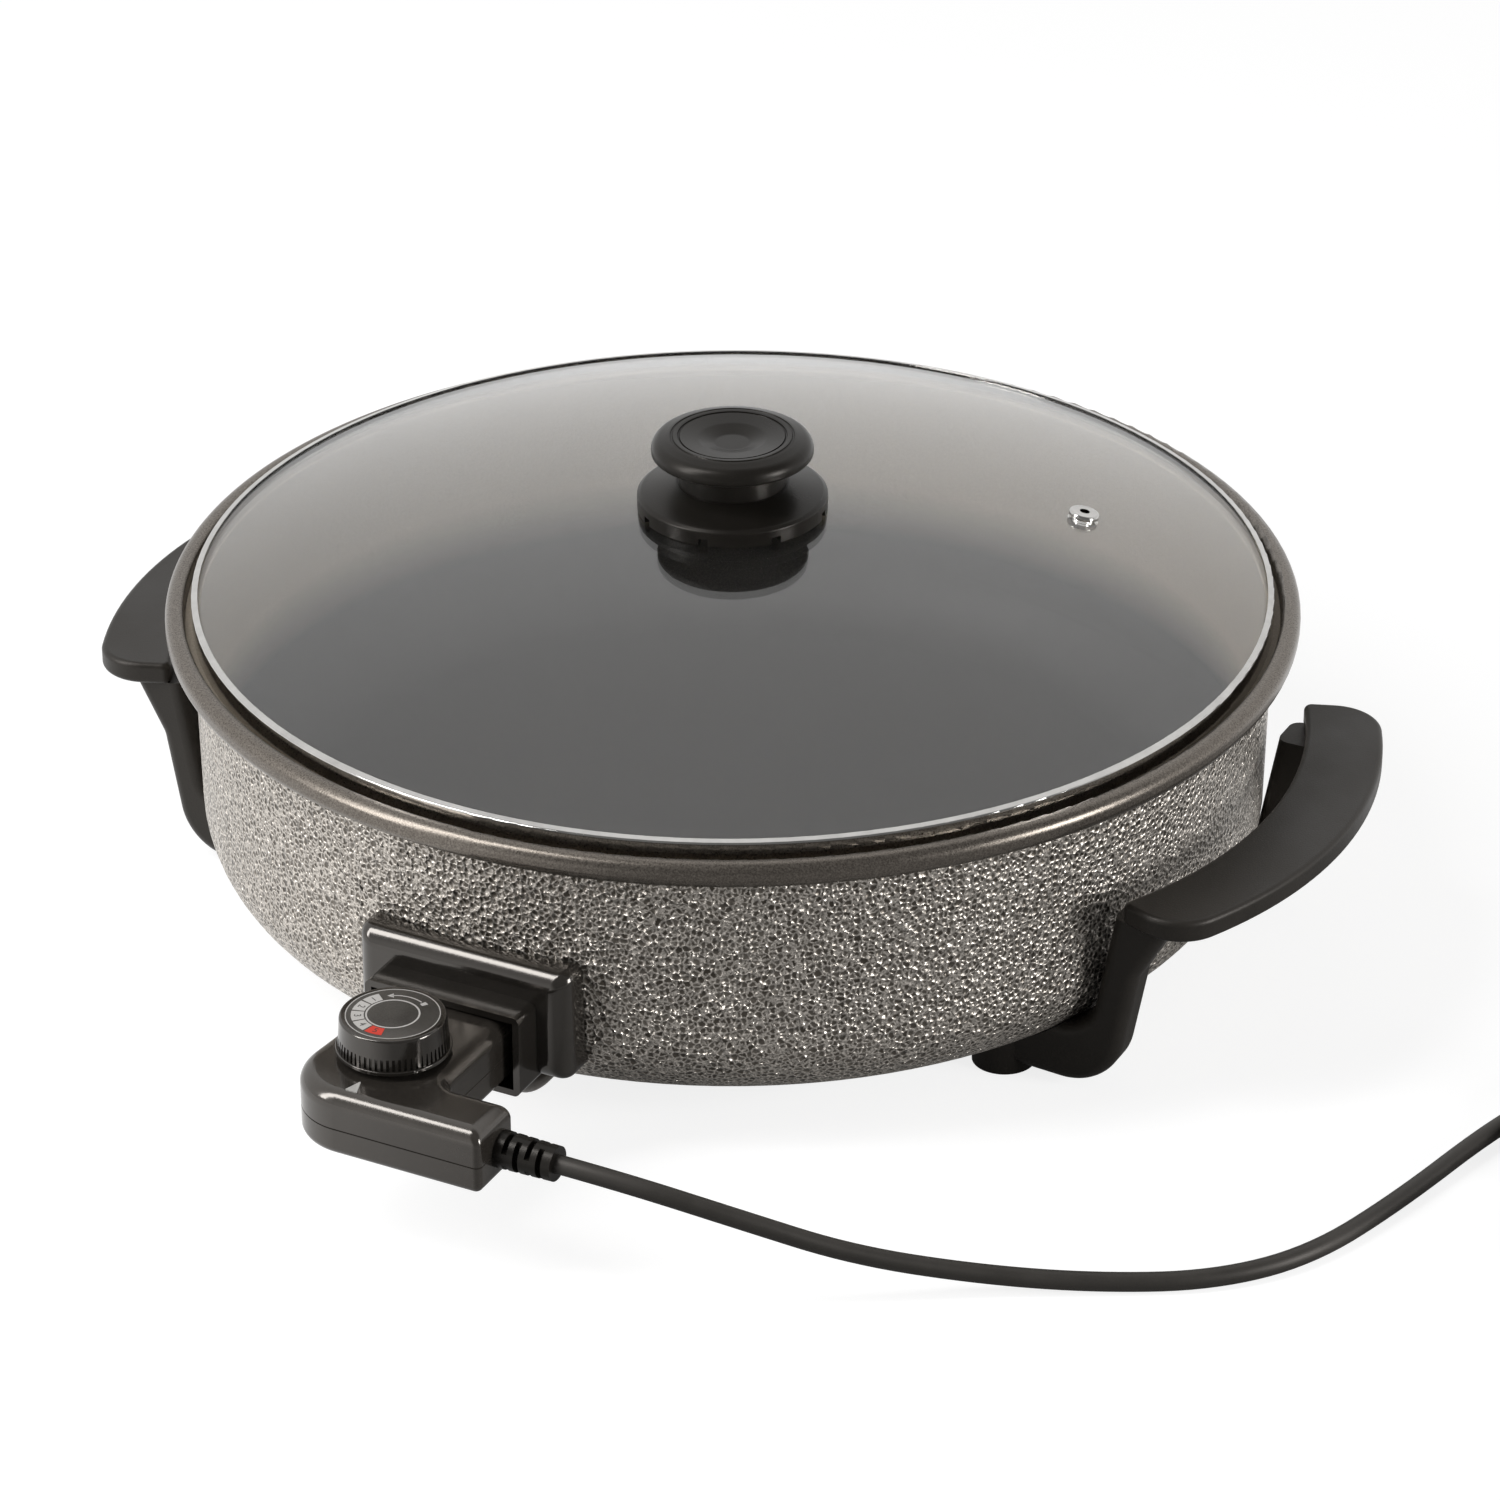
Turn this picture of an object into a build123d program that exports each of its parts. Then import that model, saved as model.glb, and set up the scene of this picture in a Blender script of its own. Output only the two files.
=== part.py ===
from build123d import *
import math
import os

# An electric party pan: a cast pan on two moulded handles, a glass lid and a plug-in controller.
# Millimetres. The table is z = 0, the pan's axis is the Z axis, the handles lie along X and the
# controller leaves along -Y.

# Fits
seat_gap = 0.3
slide_gap = 0.1
press_gap = 0.05

# Pan
rim_diameter = 418.0
rim_width = 7.0
rim_depth = 9.4
rim_height = 118.0
rim_outer_round = 4.0
rim_inner_round = 2.0
ledge_drop = 5.7
wall_top_diameter = 398.4
wall_foot_diameter = 395.0
wall_thickness = 3.5
base_height = 14.0
base_thickness = 5.5
corner_radius = 33.5
pad_depth = 1.5

# Heating element
heater_diameter = 6.0
heater_ring_diameter = 210.0
heater_turn_radius = 12.0
heater_rise_radius = 28.0
heater_rib_width = 3.0

# Socket on the front wall
flange_width = 84.0
flange_height = 43.5
flange_thickness = 9.5
flange_round = 7.5
socket_bottom = 31.5
shroud_width = 61.0
shroud_height = 31.5
shroud_depth = 12.5
shroud_wall = 2.5
shroud_round = 2.5
back_wall = 2.7
boss_diameter = 10.0
boss_depth = 4.5
socket_screw_spacing = 47.0
socket_screw_diameter = 4.0
socket_screw_head = 7.0
socket_screw_head_depth = 2.4
strip_thickness = 0.6
strip_width = 8.0

# Terminals
pin_spacing = 28.0
pin_diameter = 5.0
pin_length = 10.5
pin_block = 7.0
pin_block_height = 7.0
bead_diameter = 9.0
bead_proud = 1.6
sleeve_diameter = 8.0
sleeve_bore = 6.0
sleeve_length = 6.5
sleeve_floor = 1.0

# Handles, their reach and legs measured from the pan's wall
grip_top = 82.0
grip_thickness = 8.5
grip_reach = 47.0
grip_width = 30.0
grip_tip_depth = 51.0
grip_tip_y = 83.0
grip_corner_depth = 25.5
grip_corner_y = 92.5
grip_corner_round = 18.0
grip_tip_round = 3.0
grip_edge_round = 2.0
leg_spread = 147.0
leg_width = 17.0
leg_thickness = 13.5
leg_standoff = 7.0
leg_lean = 10.4
leg_round = 4.5
arm_top = 25.5
arm_lift = 1.5
arm_end_lift = 4.0
arm_inner_round = 13.0
arm_outer_round = 22.0
gusset_height = 51.0
gusset_spread = 8.32
foot_x = 147.0
foot_diameter = 23.0
handle_screw_diameter = 5.0
handle_screw_head = 9.5
handle_screw_head_depth = 3.4
handle_screw_bite = 5.0
washer_diameter = 11.0
washer_thickness = 1.0
foot_well_depth = 5.5

# Lid
lid_side_gap = 2.8
glass_thickness = 4.0
glass_rise = 31.0
band_height = 9.6
band_thickness = 0.6
band_lip = 2.4
glass_drop = 0.6
vent_radius = 130.7
vent_angle = 34.3
vent_flange_diameter = 11.4
vent_tube_diameter = 7.8
vent_bore = 3.8
vent_flange_thickness = 1.7

# Knob
skirt_diameter = 70.0
skirt_band = 5.4
skirt_height = 8.7
skirt_wall = 2.2
skirt_hub_diameter = 24.0
notch_count = 8
notch_angle = 9.2
notch_width = 3.8
notch_height = 2.6
seal_thickness = 1.0
neck_diameter = 39.7
neck_height = 11.2
cap_diameter = 59.5
cap_height = 7.2
cap_dish = 3.2
groove_diameters = (39.4, 44.6)
groove_size = 0.5
knob_screw_diameter = 5.0
knob_screw_head = 9.0
knob_screw_head_depth = 3.0
knob_screw_bite = 14.0
knob_washer_diameter = 16.0
knob_washer_thickness = 1.2

# Controller housing, its top measured from the terminals' axis
controller_axis = 46.0
controller_top_height = 13.5
controller_bottom_height = 35.5
controller_length = 78.0
nose_gap = 0.8
neck_right = 24.5
neck_left = 21.5
body_left = 29.0
left_round = 22.0
toe_reach = 52.0
toe_depth = 24.0
toe_round = 2.5
inside_round = 7.0
shell_wall = 2.3
top_round = 5.5
bottom_round = 3.2
rib_thickness = 4.0
rib_setback = 9.5
controller_screw_diameter = 3.0
controller_screw_head = 5.6
controller_screw_head_depth = 2.0
screw_post_diameter = 8.0
screw_bite = 6.0

# Controller inside
contact_diameter = 8.0
contact_length = 15.0
probe_diameter = 5.6
probe_reach = 6.0
switch_length = 24.0
switch_width = 27.0
switch_height = 13.0
lamp_diameter = 5.0
lens_length = 6.8
lens_width = 4.6
lens_setback = 4.9
lens_proud = 0.4

# Dial
dial_setback = 34.0
dial_lift = 2.2
dial_height = 12.8
dial_top_diameter = 36.8
dial_foot_diameter = 38.6
dial_flange_diameter = 40.0
dial_flange_depth = 1.4
dial_wall = 2.0
dial_edge_round = 0.9
dial_hub_diameter = 10.0
dial_rib_count = 60
dial_rib_height = 4.4
dial_rib_depth = 0.6
dial_rib_width = 1.0
dial_pip_diameter = 1.8
dial_pip_angle = -38.0
face_diameter = 33.0
face_thickness = 0.6
shaft_diameter = 6.0
shaft_depth = 7.0
collar_diameter = 30.0
collar_height = 1.6

# Lead
relief_setback = 15.428
relief_length = 21.5
relief_root_diameter = 13.4
relief_end_diameter = 12.4
relief_neck_diameter = 9.6
relief_stop_diameter = 12.0
relief_stop_depth = 3.0
relief_slots = 4
relief_slot_width = 2.0
relief_slot_depth = 2.4
relief_bridge = 4.5
cord_diameter = 6.8
coil_x = 378.5
coil_y = -27.0
coil_entry_angle = 160.0
coil_mean_diameter = 75.0
coil_turns = 2
coil_gap = 0.6
tie_width = 9.0
tie_thickness = 1.2
tie_angle = 250.0
lead_in = 32.0

# Plug
plug_diameter = 37.0
plug_face_depth = 9.0
plug_body_depth = 30.0
plug_back_diameter = 22.0
plug_relief_length = 22.0
plug_relief_root = 13.0
plug_relief_end = 9.6
plug_pin_spacing = 19.0
plug_pin_diameter = 4.8
plug_pin_length = 19.0
plug_clip_width = 5.0
plug_clip_depth = 1.2

# Worked-out places
rim_radius = rim_diameter / 2
rim_bore = rim_radius - rim_width
rim_top = rim_height + rim_depth / 2
rim_bottom = rim_height - rim_depth / 2
ledge_height = rim_top - ledge_drop
floor_height = base_height + base_thickness
pad_height = base_height - pad_depth
wall_slope = (wall_top_diameter - wall_foot_diameter) / 2 / (rim_bottom - base_height)
wall_at_axis = wall_foot_diameter / 2 + wall_slope * (controller_axis - base_height)
flange_front = -(wall_at_axis + flange_thickness)
shroud_front = flange_front - shroud_depth
boss_face = -(wall_at_axis + boss_depth)
sleeve_root = boss_face + boss_depth - seat_gap
screw_seat = flange_front + socket_screw_head_depth
strip_low = controller_axis + bead_diameter / 2 + seat_gap
strip_arm = shroud_width / 2 - shroud_wall - seat_gap
heater_height = base_height - heater_diameter / 2 - slide_gap
heater_end_y = flange_front + back_wall + heater_diameter / 2 + slide_gap
pin_block_bottom = controller_axis - pin_block_height / 2
grip_bottom = grip_top - grip_thickness
wall_at_grip = wall_foot_diameter / 2 + wall_slope * (grip_bottom - base_height)
grip_end_x = wall_at_grip + grip_reach
grip_tip_x = grip_end_x - grip_tip_depth
grip_corner_x = grip_end_x - grip_corner_depth
lean = math.tan(math.radians(leg_lean))
foot_y = leg_spread / 2
leg_top_x = math.sqrt(wall_at_grip ** 2 - foot_y ** 2) + leg_standoff
feet = [(side * foot_x, end * foot_y) for side in (-1, 1) for end in (-1, 1)]
lid_radius = rim_bore - lid_side_gap
lid_bottom = ledge_height + seat_gap
glass_radius = lid_radius - band_thickness - slide_gap
glass_edge = lid_bottom + band_height - glass_drop - band_thickness
glass_top = glass_edge + glass_rise
dome_radius = (glass_radius ** 2 + glass_rise ** 2) / (2 * glass_rise)
edge_slope = glass_radius / (dome_radius - glass_rise)
knob_screw_seat = glass_top - glass_thickness - seat_gap - knob_washer_thickness
skirt_bottom = glass_top + seal_thickness
skirt_top = skirt_bottom + skirt_height
cap_bottom = skirt_top + neck_height
cap_top = cap_bottom + cap_height
nose_front = flange_front - nose_gap
controller_front = nose_front - controller_length
dial_y = controller_front + dial_setback
controller_top_face = controller_axis + controller_top_height
dial_bottom = controller_top_face + dial_lift
dial_top = dial_bottom + dial_height
bottom_floor = controller_bottom_height + shell_wall
top_ceiling = controller_top_face - shell_wall
switch_top = bottom_floor + switch_height
relief_y = controller_front + relief_setback
relief_end = toe_reach + relief_length
coil_pitch = cord_diameter + coil_gap
coil_outer = coil_mean_diameter / 2 + coil_pitch * coil_turns / 2
tie_gap = 2 * seat_gap
coil_height = cord_diameter / 2 + tie_gap + tie_thickness + slide_gap
coil_layer = coil_height + coil_pitch
plug_axis = plug_diameter / 2


def in_plan(u, v):
    return (u, v, 0)


def in_section(u, v):
    return (u, 0, v)


def rounded_face(corners, place):
    # A closed face from corners (u, v, radius), joined by straight lines and tangent arcs
    entries = []
    exits = []
    edges = []
    for index, (u, v, radius) in enumerate(corners):
        here = Vector(u, v)
        before = (Vector(*corners[index - 1][:2]) - here).normalized()
        after = (Vector(*corners[(index + 1) % len(corners)][:2]) - here).normalized()
        half_turn = math.radians(before.get_angle(after)) / 2
        reach = radius / math.tan(half_turn)
        entry = here + before * reach
        leave = here + after * reach
        entries.append(entry)
        exits.append(leave)
        if radius > 0:
            middle = here + (before + after).normalized() * (radius / math.sin(half_turn) - radius)
            arc = [place(point.X, point.Y) for point in (entry, middle, leave)]
            edges.append(ThreePointArc(*arc))
    for index, start in enumerate(exits):
        end = entries[(index + 1) % len(corners)]
        edges.append(Line(place(start.X, start.Y), place(end.X, end.Y)))
    return make_face(edges)


def turned(corners):
    # A solid of revolution about Z from corners (radius, height, round)
    return revolve(rounded_face(corners, in_section), Axis.Z)


def drum(diameter, low, high, x=0.0, y=0.0):
    # An upright cylinder between two heights
    return Pos(x, y, (low + high) / 2) * Cylinder(diameter / 2, high - low)


def rod_y(diameter, near, far, x=0.0, z=controller_axis):
    # A cylinder along Y between two y values
    return Pos(x, (near + far) / 2, z) * Rot(90, 0, 0) * Cylinder(diameter / 2, abs(far - near))


def rod_x(diameter, near, far, y=relief_y, z=controller_axis):
    # A cylinder along X between two x values
    return Pos((near + far) / 2, y, z) * Rot(0, 90, 0) * Cylinder(diameter / 2, far - near)


def block(x_low, x_high, y_low, y_high, z_low, z_high):
    # A box between two corners
    centre = ((x_low + x_high) / 2, (y_low + y_high) / 2, (z_low + z_high) / 2)
    return Pos(*centre) * Box(x_high - x_low, y_high - y_low, z_high - z_low)


def pan_outside(gap):
    # The filled outer form of the pan, grown by a gap, which trims what lies against the pan
    return turned([
        (0, base_height - gap, 0),
        (wall_foot_diameter / 2 + gap, base_height - gap, corner_radius + gap),
        (wall_top_diameter / 2 + gap, rim_bottom, 0),
        (0, rim_bottom, 0),
    ])


def pan_body():
    inner_foot = wall_foot_diameter / 2 - wall_thickness
    inner_top = wall_top_diameter / 2 - wall_thickness
    body = turned([
        (0, base_height, 0),
        (wall_foot_diameter / 2, base_height, corner_radius),
        (wall_top_diameter / 2, rim_bottom, 1.0),
        (rim_radius, rim_bottom, rim_outer_round),
        (rim_radius, rim_top, rim_outer_round),
        (rim_bore, rim_top, rim_inner_round),
        (rim_bore, ledge_height, 0.8),
        (inner_top, ledge_height, 0.8),
        (inner_foot, floor_height, corner_radius - wall_thickness),
        (0, floor_height, 0),
    ])
    for x, y in feet:
        body += drum(foot_diameter - 1, pad_height, base_height + base_thickness / 2, x, y)
    rib_gap = heater_diameter / 2 + slide_gap
    ring = heater_ring_diameter / 2
    rib_bottom = heater_height - heater_diameter / 4
    for inner in (ring - rib_gap - heater_rib_width, ring + rib_gap):
        outer = inner + heater_rib_width
        rib = drum(2 * outer, rib_bottom, base_height + 1) - drum(2 * inner, 0, rim_height)
        gate = pin_spacing / 2 + heater_turn_radius + heater_diameter
        body += rib - block(-gate, gate, -rim_radius, 0, 0, rim_height)
    bosses = [-socket_screw_spacing / 2, 0, socket_screw_spacing / 2]
    inside = wall_at_axis - 2 * wall_thickness
    for x in bosses:
        body += rod_y(boss_diameter, boss_face, -inside, x) - inside_space()
    for x, y in feet:
        hole = handle_screw_diameter + 2 * press_gap
        body -= drum(hole, 0, pad_height + handle_screw_bite + seat_gap, x, y)
    for x in (bosses[0], bosses[2]):
        hole = socket_screw_diameter + 2 * press_gap
        body -= rod_y(hole, boss_face - 1, boss_face + boss_depth, x)
    body -= rod_y(sleeve_diameter + 2 * press_gap, boss_face - 1, boss_face + boss_depth)
    return body


def inside_space():
    # The filled inner form of the pan, which keeps the wall bosses out of the bowl
    return turned([
        (0, floor_height, 0),
        (wall_foot_diameter / 2 - wall_thickness, floor_height, corner_radius - wall_thickness),
        (wall_top_diameter / 2 - wall_thickness, rim_bottom, 0),
        (0, rim_bottom, 0),
    ])


def heater_path():
    ring = heater_ring_diameter / 2
    turn = heater_turn_radius
    x = pin_spacing / 2
    turn_x = x + turn
    turn_y = -math.sqrt((ring + turn) ** 2 - turn_x ** 2)
    share = ring / (ring + turn)
    bend_y = heater_end_y + heater_rise_radius
    bend_z = heater_height + heater_rise_radius
    half = math.sqrt(0.5)
    z = heater_height
    edges = []
    for side in (1, -1):
        middle_angle = math.atan2(turn_y * share - turn_y, side * (turn_x * share - turn_x))
        middle_angle = (middle_angle + (math.pi if side > 0 else 0)) / 2
        mid_x = side * turn_x + turn * math.cos(middle_angle)
        mid_y = turn_y + turn * math.sin(middle_angle)
        top = (side * x, heater_end_y, pin_block_bottom)
        low = (side * x, heater_end_y, bend_z)
        bend_x = side * x
        bend = (bend_x, bend_y - heater_rise_radius * half, bend_z - heater_rise_radius * half)
        level = (bend_x, bend_y, z)
        near = (bend_x, turn_y, z)
        join = (side * turn_x * share, turn_y * share, z)
        edges += [
            Line(top, low),
            ThreePointArc(low, bend, level),
            Line(level, near),
            ThreePointArc(near, (mid_x, mid_y, z), join),
        ]
    ends = [(side * turn_x * share, turn_y * share, z) for side in (1, -1)]
    edges.append(ThreePointArc(ends[0], (0, ring, z), ends[1]))
    return Wire(edges)


def heating_element():
    start = Plane((pin_spacing / 2, heater_end_y, pin_block_bottom), z_dir=(0, 0, -1))
    return sweep(start * Circle(heater_diameter / 2), path=heater_path())


def terminal_pins():
    pins = []
    for side in (-1, 1):
        x = side * pin_spacing / 2
        half_block = pin_block / 2
        back = heater_end_y + heater_diameter / 2
        front = flange_front + back_wall
        base = block(x - half_block, x + half_block, front, back,
                     pin_block_bottom, pin_block_bottom + pin_block_height)
        pins.append(base + rod_y(pin_diameter, front, flange_front - pin_length, x))
    return pins


def terminal_insulators():
    beads = []
    for side in (-1, 1):
        x = side * pin_spacing / 2
        bead = rod_y(bead_diameter, flange_front + back_wall, flange_front - bead_proud, x)
        beads.append(bead - rod_y(pin_diameter + 2 * press_gap, 0, 2 * flange_front, x))
    return beads


def probe_sleeve():
    far = flange_front - sleeve_length
    return rod_y(sleeve_diameter, sleeve_root, far) - rod_y(sleeve_bore, sleeve_root - sleeve_floor, far - 1)


def socket_housing():
    top = socket_bottom + flange_height
    half = flange_width / 2
    wall_depth = flange_thickness + corner_radius / 2
    flange = block(-half, half, flange_front, flange_front + wall_depth, socket_bottom, top)
    front = flange.faces().sort_by(Axis.Y)[0]
    flange = fillet(front.edges(), flange_round)
    flange = fillet(flange.edges().filter_by(Axis.Y), flange_round * 0.6)
    shroud_half = shroud_width / 2
    shroud_top = socket_bottom + shroud_height
    shroud = block(-shroud_half, shroud_half, shroud_front, flange_front + flange_round,
                   socket_bottom, shroud_top)
    shroud = fillet(shroud.edges().filter_by(Axis.Y), shroud_round)
    wall = shroud_wall
    housing = flange + shroud
    housing -= block(wall - shroud_half, shroud_half - wall, shroud_front - 1, flange_front,
                     socket_bottom + wall, shroud_top - wall)
    housing -= pan_outside(seat_gap)
    slot_half = pin_block / 2 + seat_gap
    slot_top = pin_block_bottom + pin_block_height + seat_gap
    for side in (-1, 1):
        x = side * pin_spacing / 2
        housing -= block(x - slot_half, x + slot_half, flange_front + back_wall, 0, 0, slot_top)
        housing -= rod_y(bead_diameter + 2 * press_gap, 0, 2 * flange_front, x)
        screw_x = side * socket_screw_spacing / 2
        housing -= rod_y(boss_diameter + 2 * seat_gap, 0, boss_face, screw_x)
        housing -= rod_y(socket_screw_diameter + 2 * slide_gap, 0, 2 * flange_front, screw_x)
        housing -= rod_y(socket_screw_head + 2 * seat_gap, screw_seat + strip_thickness, flange_front, screw_x)
        lug = socket_screw_head / 2 + seat_gap
        housing -= block(screw_x - lug, screw_x + lug, flange_front, screw_seat + strip_thickness,
                         controller_axis, strip_low + strip_width)
    housing -= rod_y(boss_diameter + 2 * seat_gap, 0, boss_face)
    housing -= rod_y(sleeve_diameter + 2 * slide_gap, boss_face + boss_depth, flange_front - bead_proud)
    channel = strip_arm + seat_gap
    housing -= block(-channel, channel, flange_front, screw_seat + strip_thickness,
                     strip_low - seat_gap / 2, strip_low + strip_width + seat_gap)
    return housing


def socket_screws():
    screws = []
    for side in (-1, 1):
        x = side * socket_screw_spacing / 2
        shank = rod_y(socket_screw_diameter, sleeve_root, screw_seat, x)
        screws.append(shank + rod_y(socket_screw_head, screw_seat, flange_front, x))
    return screws


def earth_strip():
    # A bent spring strip let into the back wall under both screw heads, with an arm out along the
    # shroud's right wall
    half = socket_screw_spacing / 2
    back = screw_seat + strip_thickness
    high = strip_low + strip_width
    strip = block(-strip_arm, strip_arm, screw_seat, back, strip_low, high)
    for x in (-half, half):
        lug = socket_screw_head / 2
        strip += block(x - lug, x + lug, screw_seat, back, controller_axis, high)
        strip += rod_y(socket_screw_head, screw_seat, back, x)
        strip -= rod_y(socket_screw_diameter + 2 * slide_gap, 0, 2 * flange_front, x)
    strip += block(strip_arm - strip_thickness, strip_arm, shroud_front + 2, back, strip_low, high)
    return strip


def grip():
    inner = grip_end_x - grip_width
    outline = [
        ThreePointArc((grip_tip_x, -grip_tip_y), (inner, 0), (grip_tip_x, grip_tip_y)),
        Line((grip_tip_x, grip_tip_y), (grip_corner_x, grip_corner_y)),
        ThreePointArc((grip_corner_x, grip_corner_y), (grip_end_x, 0), (grip_corner_x, -grip_corner_y)),
        Line((grip_corner_x, -grip_corner_y), (grip_tip_x, -grip_tip_y)),
    ]
    plate = extrude(Pos(0, 0, grip_bottom) * make_face(outline), grip_thickness)
    uprights = plate.edges().filter_by(Axis.Z).sort_by(Axis.X)
    plate = fillet(uprights[2:], grip_corner_round)
    plate = fillet(plate.edges().filter_by(Axis.Z).sort_by(Axis.X)[:2], grip_tip_round)
    faces = plate.faces().sort_by(Axis.Z)
    return fillet(faces[-1].edges() + faces[0].edges(), grip_edge_round)


def leg(end):
    # A hooked leg: down from the grip, round under the pan's corner and in to its foot
    def inner_x(z):
        return leg_top_x - (grip_bottom - z) * lean

    def outer_x(z):
        return inner_x(z) + leg_thickness

    root = grip_bottom + seat_gap
    hook = rounded_face([
        (inner_x(root), root, 0),
        (inner_x(arm_top), arm_top, arm_inner_round),
        (foot_x, arm_top, 0),
        (foot_x, arm_end_lift, 0),
        (outer_x(arm_lift), arm_lift, arm_outer_round),
        (outer_x(gusset_height), gusset_height, leg_thickness / 2),
        (outer_x(root) + gusset_spread, root, 0),
    ], in_section)
    bar = extrude(Pos(0, end * foot_y + leg_width / 2, 0) * hook, leg_width, dir=(0, -1, 0))
    edges = bar.faces().filter_by(Plane.XZ).edges()
    return fillet(edges.filter_by(lambda edge: edge.center().Z < root - slide_gap), leg_round)


def right_handle():
    handle = grip()
    for end in (-1, 1):
        handle += leg(end)
        handle += drum(foot_diameter, 0, base_height, foot_x, end * foot_y)
    handle -= pan_outside(seat_gap)
    for end in (-1, 1):
        y = end * foot_y
        handle -= drum(foot_diameter - 1 + 2 * seat_gap, pad_height, rim_height, foot_x, y)
        handle -= drum(handle_screw_diameter + 2 * slide_gap, -1, rim_height, foot_x, y)
        handle -= drum(washer_diameter + 2 * slide_gap, -1, foot_well_depth, foot_x, y)
    return handle


def handle_washers():
    washers = []
    for x, y in feet:
        ring = drum(washer_diameter, foot_well_depth - washer_thickness, foot_well_depth, x, y)
        washers.append(ring - drum(handle_screw_diameter + 2 * press_gap, 0, base_height, x, y))
    return washers


def handle_screws():
    screws = []
    seat = foot_well_depth - washer_thickness
    for x, y in feet:
        shank = drum(handle_screw_diameter, seat, pad_height + handle_screw_bite, x, y)
        screws.append(shank + drum(handle_screw_head, seat - handle_screw_head_depth, seat, x, y))
    return screws


def vent_place():
    # A frame on the dome's outside at the steam vent, with Z along the dome's normal
    angle = math.radians(vent_angle)
    tilt = math.asin(vent_radius / dome_radius)
    height = glass_top - dome_radius * (1 - math.cos(tilt))
    out = Vector(math.cos(angle), math.sin(angle), 0)
    normal = out * math.sin(tilt) + Vector(0, 0, math.cos(tilt))
    return Plane(out * vent_radius + Vector(0, 0, height), z_dir=normal)


def lid_glass():
    def dome(radius, top):
        return top - dome_radius + math.sqrt(dome_radius ** 2 - radius ** 2)

    half = glass_radius / 2
    under = glass_top - glass_thickness
    section = make_face([
        ThreePointArc((0, 0, glass_top), (half, 0, dome(half, glass_top)), (glass_radius, 0, glass_edge)),
        Line((glass_radius, 0, glass_edge), (glass_radius, 0, glass_edge - glass_thickness)),
        ThreePointArc((glass_radius, 0, glass_edge - glass_thickness), (half, 0, dome(half, under)),
                      (0, 0, under)),
        Line((0, 0, under), (0, 0, glass_top)),
    ])
    glass = revolve(section, Axis.Z)
    glass -= drum(knob_screw_diameter + 2 * seat_gap, 0, 2 * glass_top)
    hole = vent_tube_diameter + 2 * slide_gap
    return glass - vent_place() * Cylinder(hole / 2, 4 * glass_thickness)


def lid_band():
    inner = lid_radius - band_thickness
    lip = lid_radius - band_lip
    rise = (inner - lip) * edge_slope
    over = glass_edge + slide_gap
    under = glass_edge - glass_thickness - slide_gap
    sheet = band_thickness
    return turned([
        (lid_radius, lid_bottom, 0),
        (lid_radius, over + sheet, sheet),
        (lip, over + sheet + rise, 0),
        (lip, over + rise, 0),
        (inner, over, 0),
        (inner, under, 0),
        (lip, under + rise, 0),
        (lip, under + rise - sheet, 0),
        (inner, under - sheet, 0),
        (inner, lid_bottom, 0),
    ])


def vent_eyelet():
    flange = vent_flange_thickness
    place = vent_place()
    gap = seat_gap / 2
    upper = Pos(0, 0, flange / 2 + gap) * Cylinder(vent_flange_diameter / 2, flange)
    upper = fillet(upper.edges().sort_by(Axis.Z)[-1], flange * 0.6)
    lower = Pos(0, 0, -glass_thickness - flange / 2 - gap) * Cylinder(vent_flange_diameter / 2, flange)
    length = glass_thickness + 2 * flange + 2 * gap
    tube = Pos(0, 0, -glass_thickness / 2) * Cylinder(vent_tube_diameter / 2, length)
    bore = Pos(0, 0, -glass_thickness / 2) * Cylinder(vent_bore / 2, 2 * length)
    return place * (upper + lower + tube - bore)


def knob_skirt():
    edge = skirt_diameter / 2
    glass_at_edge = glass_top - dome_radius + math.sqrt(dome_radius ** 2 - edge ** 2)
    low = glass_at_edge + seat_gap
    bore = knob_screw_diameter / 2 + slide_gap
    hub = skirt_hub_diameter / 2
    crest = neck_diameter / 2 + 0.9
    skirt = turned([
        (bore, skirt_bottom, 0),
        (hub, skirt_bottom, 0),
        (hub, skirt_top - 2 * skirt_wall, 1.0),
        (crest, skirt_top - 2 * skirt_wall, 2.0),
        (edge - skirt_wall, low + skirt_band - skirt_wall / 2, 2.0),
        (edge - skirt_wall, low, 0),
        (edge, low, 0),
        (edge, low + skirt_band, 0.8),
        (edge - 1.4, low + skirt_band + 1.0, 2.0),
        (crest, skirt_top, 0.6),
        (bore, skirt_top, 0),
    ])
    for index in range(notch_count):
        cut = Pos(edge, 0, low) * Box(3 * skirt_wall, notch_width, 2 * notch_height)
        skirt -= Rot(0, 0, notch_angle + index * 360 / notch_count) * cut
    return skirt


def knob_seal():
    bore = knob_screw_diameter + 2 * seat_gap
    return drum(skirt_hub_diameter, glass_top, skirt_bottom) - drum(bore, 0, 2 * glass_top)


def lid_knob():
    neck = neck_diameter / 2
    cap = cap_diameter / 2
    knob = turned([
        (0, skirt_top, 0),
        (neck, skirt_top, 0),
        (neck, cap_bottom, 1.5),
        (cap, cap_bottom, 0.8),
        (cap, cap_top - 2.2, 4.5),
        (cap * 0.75, cap_top, 8.0),
        (cap * 0.42, cap_top - cap_dish * 0.45, 6.0),
        (cap * 0.22, cap_top - cap_dish, 3.0),
        (0, cap_top - cap_dish, 0),
    ])
    for diameter in groove_diameters:
        ring = Pos(0, 0, cap_top) * Torus(diameter / 2, groove_size)
        knob -= Pos(0, 0, -groove_drop(diameter / 2, cap)) * ring
    return knob - drum(knob_screw_diameter + 2 * press_gap, 0, skirt_top + knob_screw_bite + seat_gap)


def groove_drop(radius, cap):
    # How far below the cap's crest the dished top lies at a radius
    crest = cap * 0.75
    fall = cap_dish * 0.45 / (cap * (0.75 - 0.42))
    return abs(crest - radius) * fall + 0.2


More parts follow.
